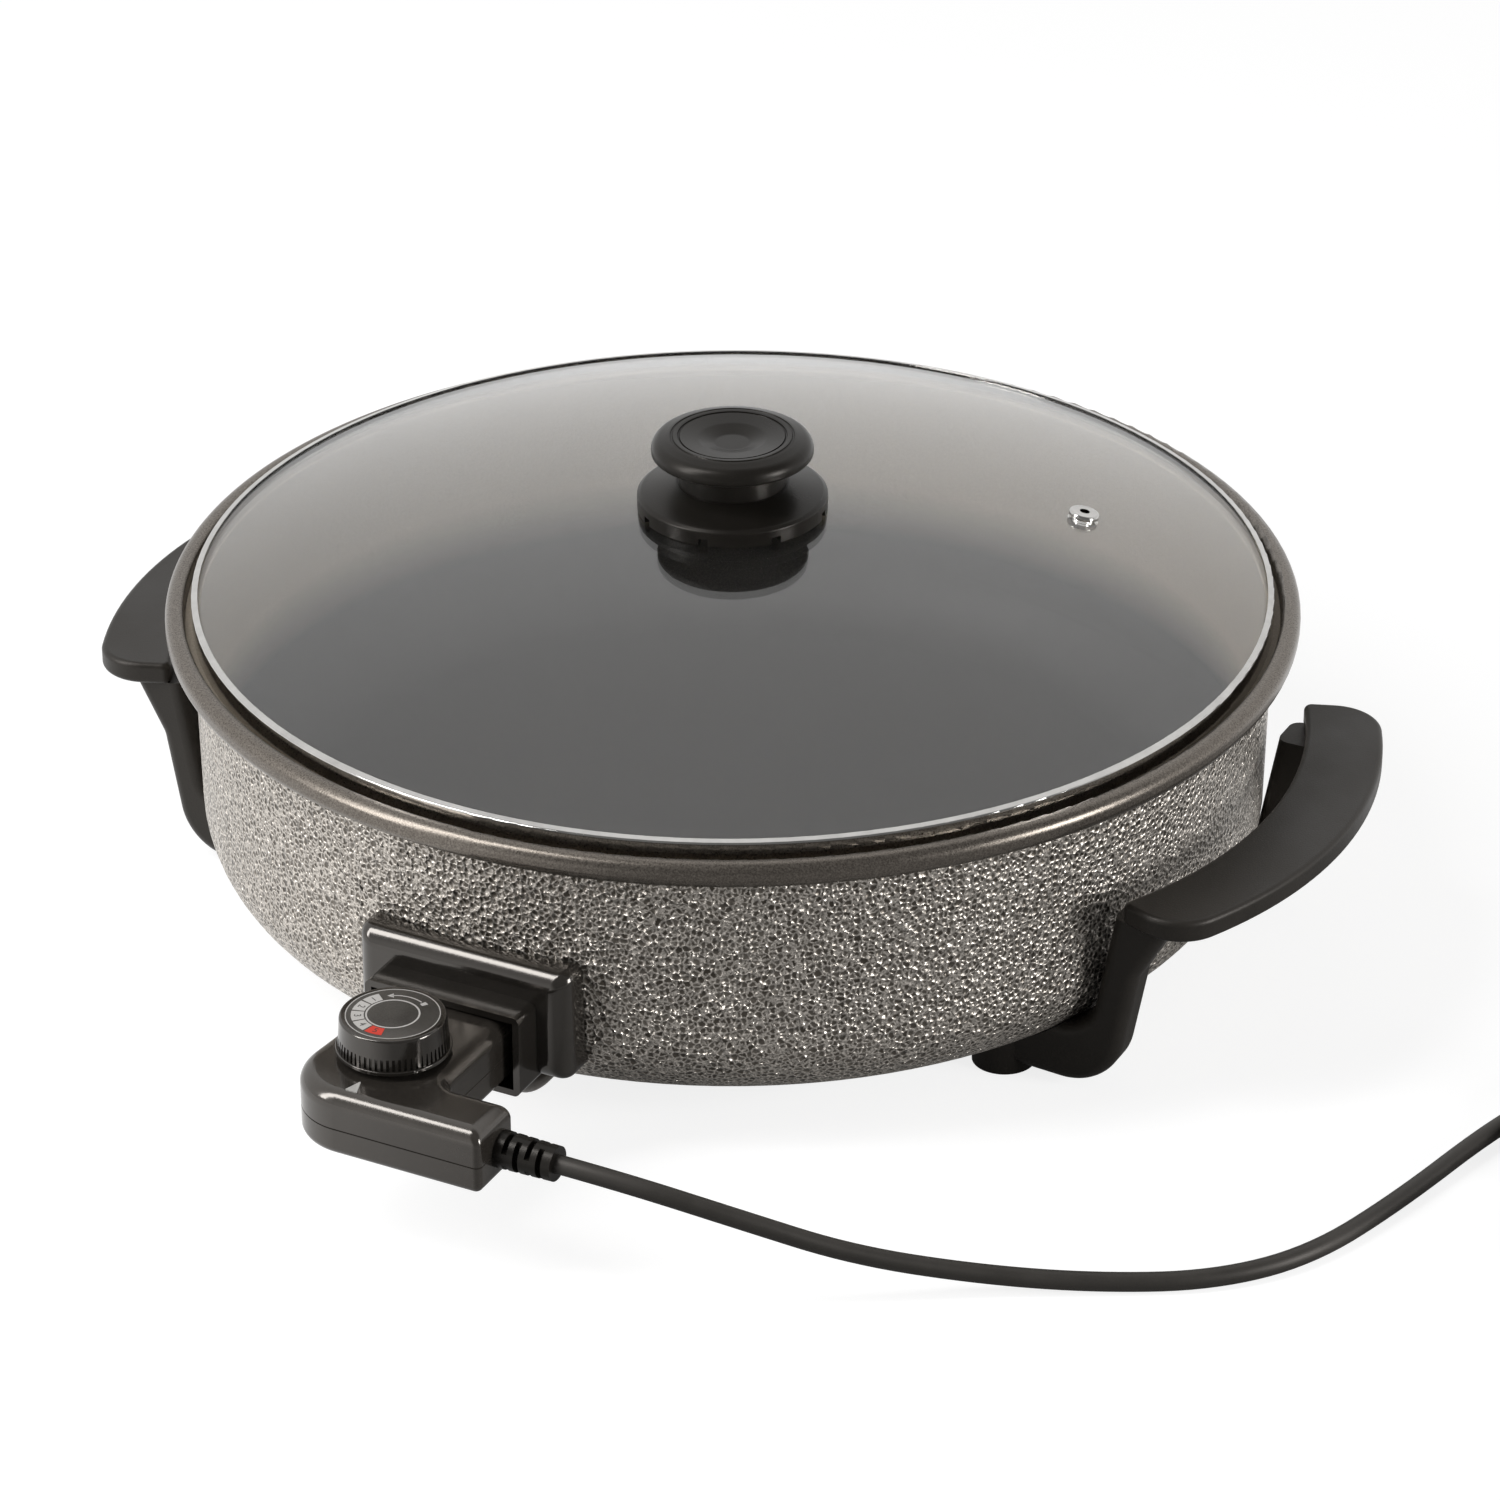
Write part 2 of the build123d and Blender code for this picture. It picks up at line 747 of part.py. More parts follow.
def knob_washer():
    ring = drum(knob_washer_diameter, knob_screw_seat, knob_screw_seat + knob_washer_thickness)
    return ring - drum(knob_screw_diameter + 2 * press_gap, 0, 2 * glass_top)


def knob_screw():
    seat = knob_screw_seat
    shank = drum(knob_screw_diameter, seat, skirt_top + knob_screw_bite)
    return shank + drum(knob_screw_head, seat - knob_screw_head_depth, seat)


def controller_outline():
    # The controller seen from above: a neck to the socket, a round left corner and a toe to the right
    rear = controller_front + toe_depth
    return rounded_face([
        (neck_right, nose_front, 1.5),
        (neck_right, rear, inside_round),
        (toe_reach, rear, toe_round),
        (toe_reach, controller_front, toe_round),
        (-body_left, controller_front, left_round),
        (-neck_left, nose_front, 1.5),
    ], in_plan)


def shell(low, high):
    return extrude(Pos(0, 0, low) * controller_outline(), high - low)


def shell_space(low, high):
    inner = offset(controller_outline(), -shell_wall, kind=Kind.INTERSECTION)
    return extrude(Pos(0, 0, low) * inner, high - low)


def screw_places():
    corner = screw_post_diameter / 2 + shell_wall + 2 * seat_gap
    beside_switch = switch_width / 2 + screw_post_diameter / 2 + seat_gap
    return [
        (toe_reach - corner - relief_stop_depth - 2 * shell_wall, controller_front + corner),
        (-beside_switch, dial_y - switch_length / 2),
        (beside_switch, dial_y + switch_length / 2),
    ]


def nose_openings():
    # What the terminals, the probe sleeve and the strain relief take out of both shells
    cut = rod_y(sleeve_diameter + 4 * seat_gap, 0, nose_front - sleeve_length - seat_gap)
    for side in (-1, 1):
        x = side * pin_spacing / 2
        cut += rod_y(bead_diameter + 4 * seat_gap, 0, nose_front - bead_proud, x)
        cut += rod_y(contact_diameter + 2 * press_gap, nose_front - seat_gap,
                     nose_front - contact_length - shell_wall, x)
    cut += rod_y(probe_diameter + 2 * slide_gap, 0, dial_y)
    cut += rod_x(relief_neck_diameter + 2 * slide_gap, toe_reach - 2 * shell_wall, 2 * toe_reach)
    return cut


def cross_rib(low, high):
    # The rib that holds the contact sleeves and the probe behind the nose
    near = nose_front - rib_setback
    half = pin_spacing / 2 + contact_diameter / 2 + shell_wall
    return block(-half, half, near - rib_thickness, near, low, high)


def controller_top():
    body = shell(controller_axis, controller_top_face)
    body = fillet(body.faces().sort_by(Axis.Z)[-1].edges(), top_round)
    body -= shell_space(controller_axis - 1, top_ceiling)
    body += cross_rib(controller_axis, top_ceiling + 0.5) & shell(controller_axis, top_ceiling + 0.5)
    collar_top = controller_top_face + collar_height
    body += drum(collar_diameter, top_ceiling + 0.5, collar_top, 0, dial_y)
    for x, y in screw_places():
        body += drum(screw_post_diameter, controller_axis, top_ceiling + 0.5, x, y)
    body -= nose_openings()
    for x, y in screw_places():
        hole = controller_screw_diameter + 2 * press_gap
        body -= drum(hole, 0, controller_axis + screw_bite + seat_gap, x, y)
    body -= drum(shaft_diameter + 2 * slide_gap, 0, 2 * collar_top, 0, dial_y)
    return body - lens_form(press_gap)


def controller_bottom():
    body = shell(controller_bottom_height, controller_axis)
    body = fillet(body.faces().sort_by(Axis.Z)[0].edges(), bottom_round)
    body -= shell_space(bottom_floor, controller_axis + 1)
    body += cross_rib(bottom_floor - 0.5, controller_axis)
    for x, y in screw_places():
        body += drum(screw_post_diameter, bottom_floor - 0.5, controller_axis, x, y)
    body -= nose_openings()
    for x, y in screw_places():
        body -= drum(controller_screw_diameter + 2 * slide_gap, 0, 2 * controller_axis, x, y)
        well = controller_bottom_height + controller_screw_head_depth + seat_gap
        body -= drum(controller_screw_head + 2 * slide_gap, 0, well, x, y)
    return body


def controller_screws():
    screws = []
    seat = controller_bottom_height + controller_screw_head_depth + seat_gap
    for x, y in screw_places():
        shank = drum(controller_screw_diameter, seat, controller_axis + screw_bite, x, y)
        head = drum(controller_screw_head, seat - controller_screw_head_depth, seat, x, y)
        screws.append(shank + head)
    return screws


def lens_form(gap):
    # A triangular light pipe that points at the dial
    near = controller_front + lens_setback - gap
    far = controller_front + lens_setback + lens_length + gap
    half = lens_width / 2 + gap
    corners = [(-half, near, 0.3), (half, near, 0.3), (0, far, 0.2)]
    low = top_ceiling - shell_wall
    return extrude(Pos(0, 0, low) * rounded_face(corners, in_plan),
                   controller_top_face + lens_proud - low)


def pilot_lamp():
    top = top_ceiling - shell_wall - slide_gap
    y = controller_front + lens_setback + lens_length / 2
    bulb = drum(lamp_diameter, bottom_floor, top, 0, y)
    return fillet(bulb.edges().sort_by(Axis.Z)[-1], lamp_diameter / 4)


def thermostat():
    half = switch_width / 2
    rear = dial_y + switch_length / 2
    body = block(-half, half, rear - switch_length, rear, bottom_floor, switch_top)
    body = fillet(body.edges().filter_by(Axis.Z), 1.5)
    body -= drum(shaft_diameter + 2 * slide_gap, switch_top - shaft_depth, 2 * switch_top, 0, dial_y)
    return body - rod_y(probe_diameter + 2 * press_gap, rear - probe_reach, 0)


def heat_probe():
    rear = dial_y + switch_length / 2
    tip = sleeve_root - sleeve_floor - 2 * seat_gap
    return rod_y(probe_diameter, rear - probe_reach, tip)


def contact_sleeves():
    sleeves = []
    for side in (-1, 1):
        x = side * pin_spacing / 2
        near = nose_front - bead_proud - 2 * seat_gap
        far = nose_front - contact_length
        tube = rod_y(contact_diameter, near, far, x)
        sleeves.append(tube - rod_y(pin_diameter + 2 * slide_gap, 0, far + shell_wall, x))
    return sleeves


def dial():
    flange = dial_flange_diameter / 2
    foot = dial_foot_diameter / 2
    top = dial_top_diameter / 2
    rib_low = dial_bottom + dial_flange_depth
    hub = dial_hub_diameter / 2
    ceiling = dial_top - face_thickness - dial_wall
    shaft = shaft_diameter / 2 + press_gap
    inner = foot - dial_rib_depth - dial_wall
    body = turned([
        (shaft, dial_bottom, 0),
        (hub, dial_bottom, 0),
        (hub, ceiling, 0.8),
        (inner - 0.5, ceiling, 0.8),
        (inner, dial_bottom, 0),
        (flange, dial_bottom, 0.3),
        (flange, rib_low, 0.3),
        (foot, rib_low, 0),
        (top, dial_top, dial_edge_round),
        (face_diameter / 2 + press_gap, dial_top, 0),
        (face_diameter / 2 + press_gap, dial_top - face_thickness, 0),
        (shaft, dial_top - face_thickness, 0),
    ])
    step = 360 / dial_rib_count
    grooves = []
    for index in range(dial_rib_count):
        groove = Box(2 * dial_rib_depth, dial_rib_width, dial_rib_height)
        groove = Pos(foot, 0, rib_low + dial_rib_height / 2) * groove
        grooves.append(Rot(0, 0, index * step) * groove)
    body -= grooves
    pip = Pos(flange, 0, dial_bottom + dial_flange_depth / 2) * Sphere(dial_pip_diameter / 2)
    body += Rot(0, 0, dial_pip_angle) * pip
    return Pos(0, dial_y, 0) * body


def dial_face():
    return drum(face_diameter, dial_top - face_thickness, dial_top, 0, dial_y)


def dial_shaft():
    low = switch_top - shaft_depth + seat_gap
    return drum(shaft_diameter, low, dial_top - face_thickness, 0, dial_y)


def strain_relief():
    neck = rod_x(relief_neck_diameter, toe_reach - 2 * shell_wall, toe_reach)
    stop_end = toe_reach - shell_wall - slide_gap
    stop = rod_x(relief_stop_diameter, stop_end - relief_stop_depth, stop_end)
    taper = Cone(relief_root_diameter / 2, relief_end_diameter / 2, relief_length)
    taper = Pos((toe_reach + relief_end) / 2, relief_y, controller_axis) * Rot(0, 90, 0) * taper
    body = neck + stop + taper
    pitch = relief_length / (relief_slots + 1)
    core = relief_end_diameter - 2 * relief_slot_depth
    for index in range(relief_slots):
        x = toe_reach + (index + 1) * pitch - relief_slot_width / 2
        ring = rod_x(2 * relief_root_diameter, x, x + relief_slot_width)
        ring -= rod_x(core, x - 1, x + relief_slot_width + 1)
        tall = 2 * relief_root_diameter
        if index % 2:
            bridge = Box(tall, relief_bridge, tall)
        else:
            bridge = Box(tall, tall, relief_bridge)
        body -= ring - Pos(x, relief_y, controller_axis) * bridge
    return body


def coil_point(turned_by):
    # A point of the coil's middle line after turning by an angle in radians: in on the lower layer,
    # up in the half turn where the spiral reverses, and out on the upper layer to the plug's height
    down = 2 * math.pi * coil_turns
    reverse = down + math.pi / 2
    total = 2 * down + math.pi
    inward = min(turned_by, 2 * reverse - turned_by)
    radius = coil_outer - coil_pitch * inward / (2 * math.pi)

    def ramp(start):
        share = min(max((turned_by - start) / math.pi, 0), 1)
        return (1 - math.cos(share * math.pi)) / 2

    height = coil_height + coil_pitch * ramp(down) + (plug_axis - coil_layer) * ramp(total - math.pi)
    angle = math.radians(coil_entry_angle) - turned_by
    return Vector(coil_x + radius * math.cos(angle), coil_y + radius * math.sin(angle), height)


def coil_heading(turned_by):
    total = (4 * coil_turns + 1) * math.pi
    step = 0.01
    if turned_by < step or turned_by > total - step:
        angle = math.radians(coil_entry_angle) - turned_by
        return Vector(math.sin(angle), -math.cos(angle), 0)
    return (coil_point(turned_by + step) - coil_point(turned_by - step)).normalized()


def biarc(start, start_heading, end, end_heading):
    # Two tangent arcs between two points with given headings
    span = end - start
    along = span.dot(start_heading + end_heading)
    spread = 2 * (1 - start_heading.dot(end_heading))
    reach = (math.sqrt(along ** 2 + spread * span.dot(span)) - along) / spread
    first = start + start_heading * reach
    second = end - end_heading * reach
    middle = (first + second) * 0.5
    heading = (second - first).normalized()
    return [
        Edge.make_tangent_arc(start, start_heading, middle),
        Edge.make_tangent_arc(middle, heading, end),
    ]


def coil_ends():
    # The coil's straight ends, each one cord diameter long: where they start and where they lead
    total = (4 * coil_turns + 1) * math.pi
    enter = coil_point(0) - coil_heading(0) * cord_diameter
    leave = coil_point(total) + coil_heading(total) * cord_diameter
    return enter, leave, coil_heading(total)


def cord_coil():
    quarters = 2 * (4 * coil_turns + 1)
    stations = [index * math.pi / 2 for index in range(quarters + 1)]
    enter, leave, _ = coil_ends()
    edges = [Edge.make_line(enter, coil_point(0))]
    for start, end in zip(stations, stations[1:]):
        edges += biarc(coil_point(start), coil_heading(start), coil_point(end), coil_heading(end))
    edges.append(Edge.make_line(coil_point(stations[-1]), leave))
    path = Wire(edges)
    report_coil_gap(edges)
    section = Plane(enter, z_dir=coil_heading(0)) * Circle(cord_diameter / 2)
    coil = sweep(section, path=path)
    print("coil length", round(path.length, 1), "volume ratio",
          round(coil.volume / (path.length * math.pi * cord_diameter ** 2 / 4), 4))
    return coil


def report_coil_gap(edges):
    # The least clear gap between turns, on points a few millimetres apart along the middle line
    spacing = 3.0
    points = []
    for edge in edges:
        count = max(2, round(edge.length / spacing))
        points += [edge.position_at(index / count) for index in range(count)]
    apart = round(4 * cord_diameter / spacing)
    least = min((points[i] - points[j]).length
                for i in range(len(points)) for j in range(i + apart, len(points)))
    print("least coil gap", round(least - cord_diameter, 2))


def cord_route():
    # Points chosen by hand, from the strain relief down to the table and along to the coil
    enter = coil_ends()[0]
    lead = enter - coil_heading(0) * lead_in
    return [
        (relief_end, relief_y, controller_axis),
        (99.0, relief_y, controller_axis),
        (134.0, -257.0, 34.0),
        (167.0, -237.5, 18.0),
        (203.0, -214.5, 7.5),
        (238.3, -195.8, 3.6),
        (272.8, -176.6, 3.6),
        (296.5, -147.7, 3.6),
        (310.4, -102.0, 3.6),
        (lead.X, lead.Y, lead.Z),
        (enter.X, enter.Y, enter.Z),
    ]


def cord():
    points = [Vector(*point) for point in cord_route()]
    radii = []
    for before, here, after in zip(points, points[1:], points[2:]):
        turn = math.radians((here - before).get_angle(after - here))
        run = min((here - before).length, (after - here).length)
        radii.append(0.45 * run / math.tan(turn / 2))
    print("cord radii", [round(radius) for radius in radii])
    path = FilletPolyline(*points, radius=radii)
    section = Plane(points[0], z_dir=points[1] - points[0]) * Circle(cord_diameter / 2)
    tube = sweep(section, path=path)
    print("cord length", round(path.length, 1), "volume ratio",
          round(tube.volume / (path.length * math.pi * cord_diameter ** 2 / 4), 4))
    return tube


def cord_tie():
    # A flat band round the coil's turns
    half = cord_diameter / 2 + tie_gap
    outer_turn = coil_outer - coil_pitch * ((coil_entry_angle - tie_angle) % 360) / 360
    inner = outer_turn - coil_pitch * (coil_turns - 1) - half
    outer = outer_turn + half
    low = coil_height - half
    high = coil_layer + half
    sheet = tie_thickness
    band = block(inner - sheet, outer + sheet, -tie_width / 2, tie_width / 2, low - sheet, high + sheet)
    band = fillet(band.edges().filter_by(Axis.Y), sheet)
    band -= block(inner, outer, -tie_width, tie_width, low, high)
    return Pos(coil_x, coil_y, 0) * Rot(0, 0, tie_angle) * band


def plug_place():
    # A frame at the plug's cable end, with Z along the plug towards its pins
    _, leave, heading = coil_ends()
    return Plane(leave, x_dir=heading.cross(Vector(0, 0, 1)), z_dir=heading)


def plug_body():
    back = plug_relief_length
    face = back + plug_body_depth
    front = face + plug_face_depth
    relief_end_radius = plug_relief_end / 2
    shape = turned([
        (0, 0, 0),
        (relief_end_radius, 0, 0),
        (plug_relief_root / 2, back, 2.0),
        (plug_back_diameter / 2, back, 3.0),
        (plug_diameter / 2 - 1.5, face, 0.5),
        (plug_diameter / 2, face, 0.5),
        (plug_diameter / 2, front, 1.0),
        (0, front, 0),
    ])
    for side in (-1, 1):
        hole = plug_pin_diameter + 2 * press_gap
        pin_x = side * plug_pin_spacing / 2
        shape -= Pos(pin_x, 0, front) * Cylinder(hole / 2, plug_face_depth)
        shape -= clip_form(side, press_gap)
    return plug_place() * shape


def clip_form(side, gap):
    # An earth clip let into the plug's rim
    front = plug_relief_length + plug_body_depth + plug_face_depth
    depth = plug_clip_depth + gap
    form = Box(plug_clip_width + 2 * gap, depth, plug_face_depth - 2 + gap)
    offset_y = side * (plug_diameter / 2 - 0.6 - depth / 2)
    return Pos(0, offset_y, front - (plug_face_depth - 2 + gap) / 2) * form


def plug_pins():
    front = plug_relief_length + plug_body_depth + plug_face_depth
    root = front - plug_face_depth / 2 + seat_gap
    pins = []
    for side in (-1, 1):
        length = plug_pin_length + front - root
        pin = Pos(side * plug_pin_spacing / 2, 0, root + length / 2) * Cylinder(plug_pin_diameter / 2, length)
        pin = fillet(pin.edges().sort_by(Axis.Z)[-1], plug_pin_diameter / 3)
        pins.append(plug_place() * pin)
    return pins


def plug_earth():
    return [plug_place() * clip_form(side, 0) for side in (-1, 1)]


def save(name, shape):
    solids = shape if isinstance(shape, list) else [shape]
    group = []
    for item in solids:
        group += item.solids()
    whole = group[0] if len(group) == 1 else Compound(children=group)
    export_step(whole, os.path.join("parts", name + ".step"))


os.makedirs("parts", exist_ok=True)

right = right_handle()
pieces = {
    "pan_body": pan_body(),
    "heating_element": heating_element(),
    "terminal_pins": terminal_pins(),
    "terminal_insulators": terminal_insulators(),
    "probe_sleeve": probe_sleeve(),
    "socket_housing": socket_housing(),
    "socket_screws": socket_screws(),
    "earth_strip": earth_strip(),
    "right_handle": right,
    "left_handle": mirror(right, about=Plane.YZ),
    "handle_washers": handle_washers(),
    "handle_screws": handle_screws(),
    "lid_glass": lid_glass(),
    "lid_band": lid_band(),
    "vent_eyelet": vent_eyelet(),
    "knob_skirt": knob_skirt(),
    "knob_seal": knob_seal(),
    "lid_knob": lid_knob(),
    "knob_washer": knob_washer(),
    "knob_screw": knob_screw(),
    "controller_top": controller_top(),
    "controller_bottom": controller_bottom(),
    "controller_screws": controller_screws(),
    "pointer_lens": lens_form(0),
    "pilot_lamp": pilot_lamp(),
    "thermostat": thermostat(),
    "heat_probe": heat_probe(),
    "contact_sleeves": contact_sleeves(),
    "dial": dial(),
    "dial_face": dial_face(),
    "dial_shaft": dial_shaft(),
    "strain_relief": strain_relief(),
    "cord": cord(),
    "cord_coil": cord_coil(),
    "cord_tie": cord_tie(),
    "plug_body": plug_body(),
    "plug_pins": plug_pins(),
    "plug_earth": plug_earth(),
}
for name, shape in pieces.items():
    save(name, shape)
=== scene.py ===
import bmesh
import bpy
import math
from mathutils import Matrix, Quaternion, Vector


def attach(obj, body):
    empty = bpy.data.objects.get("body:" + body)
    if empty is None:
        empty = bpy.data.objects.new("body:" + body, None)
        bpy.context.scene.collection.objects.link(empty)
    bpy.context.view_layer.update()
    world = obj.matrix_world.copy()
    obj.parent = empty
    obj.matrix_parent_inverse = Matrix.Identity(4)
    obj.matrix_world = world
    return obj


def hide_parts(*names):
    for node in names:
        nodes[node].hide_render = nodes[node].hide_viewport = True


# An electric party pan: cast pan, glass lid, two moulded handles, plug-in controller with its lead
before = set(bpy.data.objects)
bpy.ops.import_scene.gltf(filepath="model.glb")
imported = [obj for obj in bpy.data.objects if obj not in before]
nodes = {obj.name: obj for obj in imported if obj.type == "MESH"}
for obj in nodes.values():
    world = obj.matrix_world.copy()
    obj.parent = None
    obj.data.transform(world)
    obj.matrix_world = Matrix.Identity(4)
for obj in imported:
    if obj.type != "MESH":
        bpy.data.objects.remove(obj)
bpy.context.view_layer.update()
scene = bpy.context.scene
scene.view_settings.view_transform = "Standard"
print("frame loaded,", len(nodes), "nodes")


def addObject(name, data):
    obj = bpy.data.objects.new(name, data)
    bpy.context.collection.objects.link(obj)
    return obj


def direction(azimuth, elevation):
    turn, rise = math.radians(azimuth), math.radians(elevation)
    return Vector((math.sin(turn) * math.cos(rise), -math.cos(turn) * math.cos(rise), math.sin(rise)))


# Camera
view = {"azimuth": 27.4, "elevation": 27.2, "distance": 2.2165, "pivot": (0, 0, 0.118),
        "target": (0.0173, -0.0201, 0.0679), "roll": -0.12, "lens": 144.0, "sensor": 36.0}
lensData = bpy.data.cameras.new("camera")
lensData.lens = view["lens"]
lensData.sensor_width = view["sensor"]
camera = addObject("camera", lensData)
camera.location = Vector(view["pivot"]) + direction(view["azimuth"], view["elevation"]) * view["distance"]
camera.rotation_mode = "QUATERNION"
lookAt = (Vector(view["target"]) - camera.location).to_track_quat("-Z", "Y")
camera.rotation_quaternion = lookAt @ Quaternion((0, 0, 1), math.radians(view["roll"]))
scene.camera = camera
print("camera placed")


# Node helpers
def colour(red, green, blue):
    return (red, green, blue, 1.0)


def feed(tree, socket, value):
    # Link a socket to another, or give it a plain value
    if isinstance(value, bpy.types.NodeSocket):
        tree.links.new(value, socket)
    else:
        socket.default_value = value


def addNode(tree, kind, inputs=None, **settings):
    node = tree.nodes.new("ShaderNode" + kind)
    for key, value in settings.items():
        setattr(node, key, value)
    for key, value in (inputs or {}).items():
        feed(tree, node.inputs[key], value)
    return node


def newMaterial(name, **values):
    material = bpy.data.materials.new(name)
    material.use_nodes = True
    tree = material.node_tree
    shader = tree.nodes["Principled BSDF"]
    for key, value in values.items():
        shader.inputs[key.replace("_", " ")].default_value = value
    coords = addNode(tree, "TexCoord").outputs["Object"]
    return material, tree, shader, coords


def maths(tree, operation, first, second=0.0, third=0.0):
    return addNode(tree, "Math", {0: first, 1: second, 2: third}, operation=operation).outputs[0]


def vectors(tree, operation, first, second=(0, 0, 0), third=(0, 0, 0)):
    node = addNode(tree, "VectorMath", {0: first, 1: second, 2: third}, operation=operation)
    return node.outputs["Value" if operation in ("DOT_PRODUCT", "LENGTH") else "Vector"]


def parts(tree, vector):
    return addNode(tree, "SeparateXYZ", {0: vector}).outputs


def allThree(tree, value):
    return addNode(tree, "CombineXYZ", {"X": value, "Y": value, "Z": value}).outputs[0]


def spread(tree, value, low, high, outLow=0.0, outHigh=1.0):
    inputs = {"Value": value, "From Min": low, "From Max": high, "To Min": outLow, "To Max": outHigh}
    return addNode(tree, "MapRange", inputs, clamp=True).outputs["Result"]


def noise(tree, coords, scale, detail, output="Fac"):
    inputs = {"Vector": coords, "Scale": scale, "Detail": detail, "Roughness": 0.6}
    return addNode(tree, "TexNoise", inputs).outputs[output]


def mixColour(tree, share, first, second):
    return addNode(tree, "Mix", {0: share, 6: first, 7: second}, data_type="RGBA").outputs[2]


def bump(tree, shader, height, distance):
    node = addNode(tree, "Bump", {"Height": height, "Distance": distance})
    tree.links.new(node.outputs["Normal"], shader.inputs["Normal"])
    return node


# Plastics
plasticLook = {"patchScale": 28.0, "patchShare": 0.65, "grainShare": 0.35, "tones": (0.35, 0.65),
               "patches": (0.3, 0.7), "glossier": 0.85, "duller": 1.15, "shine": (1.0, 0.94, 0.88),
               "seamEdge": (0.00018, 0.00032)}


def plasticMaterial(name, dark, light, roughness, grain, depth, gloss=0.5, seam=None):
    # Moulded plastic: a slightly uneven colour, a fine moulded grain and uneven gloss
    look = plasticLook
    material, tree, shader, coords = newMaterial(name, Specular_IOR_Level=gloss,
                                                 Specular_Tint=colour(*look["shine"]))
    patches = noise(tree, coords, look["patchScale"], 4.0)
    fine = noise(tree, coords, grain, 2.0)
    tone = maths(tree, "MULTIPLY_ADD", fine, look["grainShare"],
                 maths(tree, "MULTIPLY", patches, look["patchShare"]))
    base = mixColour(tree, spread(tree, tone, *look["tones"]), colour(*dark), colour(*light))
    tree.links.new(base, shader.inputs["Base Color"])
    rough = spread(tree, patches, *look["patches"], roughness * look["glossier"], roughness * look["duller"])
    tree.links.new(rough, shader.inputs["Roughness"])
    bump(tree, shader, fine, depth)
    if seam:
        # The parting line of the two shells: a thin band without gloss
        away = maths(tree, "ABSOLUTE", maths(tree, "SUBTRACT", parts(tree, coords)["Z"], seam))
        tree.links.new(spread(tree, away, *look["seamEdge"], 0.0, gloss), shader.inputs["Specular IOR Level"])
    return material


plastics = {
    "handleBakelite": {"dark": (0.012, 0.0105, 0.0088), "light": (0.021, 0.0185, 0.0155), "roughness": 0.46,
                       "grain": 1500.0, "depth": 0.00006, "gloss": 0.36},
    "knobBakelite": {"dark": (0.007, 0.0062, 0.0052), "light": (0.013, 0.0115, 0.0097), "roughness": 0.32,
                     "grain": 1800.0, "depth": 0.00003, "gloss": 0.22},
    "glossBlack": {"dark": (0.010, 0.0088, 0.0075), "light": (0.018, 0.016, 0.0137), "roughness": 0.14,
                   "grain": 700.0, "depth": 0.000012, "gloss": 0.85},
    "shellBlack": {"dark": (0.020, 0.0174, 0.0148), "light": (0.034, 0.0297, 0.0253), "roughness": 0.16,
                   "grain": 700.0, "depth": 0.000012, "gloss": 0.85, "seam": 0.046},
    "cordRubber": {"dark": (0.019, 0.0175, 0.0155), "light": (0.031, 0.0285, 0.0255), "roughness": 0.50,
                   "grain": 2200.0, "depth": 0.00004},
    "sealSilicone": {"dark": (0.05, 0.048, 0.045), "light": (0.075, 0.07, 0.066), "roughness": 0.6,
                     "grain": 1200.0, "depth": 0.00003},
    "switchCase": {"dark": (0.30, 0.24, 0.16), "light": (0.38, 0.31, 0.21), "roughness": 0.5,
                   "grain": 900.0, "depth": 0.00003},
    "ceramicBead": {"dark": (0.70, 0.68, 0.62), "light": (0.80, 0.78, 0.72), "roughness": 0.45,
                    "grain": 1400.0, "depth": 0.00003},
    "tieBand": {"dark": (0.030, 0.029, 0.028), "light": (0.052, 0.050, 0.048), "roughness": 0.42,
                "grain": 1100.0, "depth": 0.00005},
    "pointerLens": {"dark": (0.42, 0.41, 0.39), "light": (0.56, 0.55, 0.53), "roughness": 0.22,
                    "grain": 900.0, "depth": 0.00002},
    "lampGlass": {"dark": (0.55, 0.12, 0.05), "light": (0.70, 0.20, 0.08), "roughness": 0.15,
                  "grain": 900.0, "depth": 0.00001},
    "dialFoil": {"dark": (0.010, 0.009, 0.008), "light": (0.085, 0.080, 0.073), "roughness": 0.34,
                 "grain": 3000.0, "depth": 0.00003},
    "paleInk": {"dark": (0.46, 0.45, 0.43), "light": (0.60, 0.58, 0.56), "roughness": 0.45,
                "grain": 2600.0, "depth": 0.00001},
    "redInk": {"dark": (0.55, 0.030, 0.018), "light": (0.70, 0.050, 0.028), "roughness": 0.40,
               "grain": 2600.0, "depth": 0.00001},
    "darkInk": {"dark": (0.020, 0.019, 0.018), "light": (0.034, 0.032, 0.030), "roughness": 0.45,
                "grain": 2600.0, "depth": 0.00001},
}
materials = {name: plasticMaterial(name, **look) for name, look in plastics.items()}


# Metals
metalLook = {"broader": 12, "tones": (0.3, 0.7), "glossier": 0.7, "duller": 1.3, "depth": 0.00002}


def metalMaterial(name, dark, light, roughness, grain=900.0):
    # Metal: fine scratches that vary the tone and the gloss
    look = metalLook
    material, tree, shader, coords = newMaterial(name, Metallic=1.0)
    fine = noise(tree, coords, grain, 4.0)
    broad = noise(tree, coords, grain / look["broader"], 3.0)
    base = mixColour(tree, spread(tree, broad, *look["tones"]), colour(*dark), colour(*light))
    tree.links.new(base, shader.inputs["Base Color"])
    rough = spread(tree, fine, *look["tones"], roughness * look["glossier"], roughness * look["duller"])
    tree.links.new(rough, shader.inputs["Roughness"])
    bump(tree, shader, fine, look["depth"])
    return material


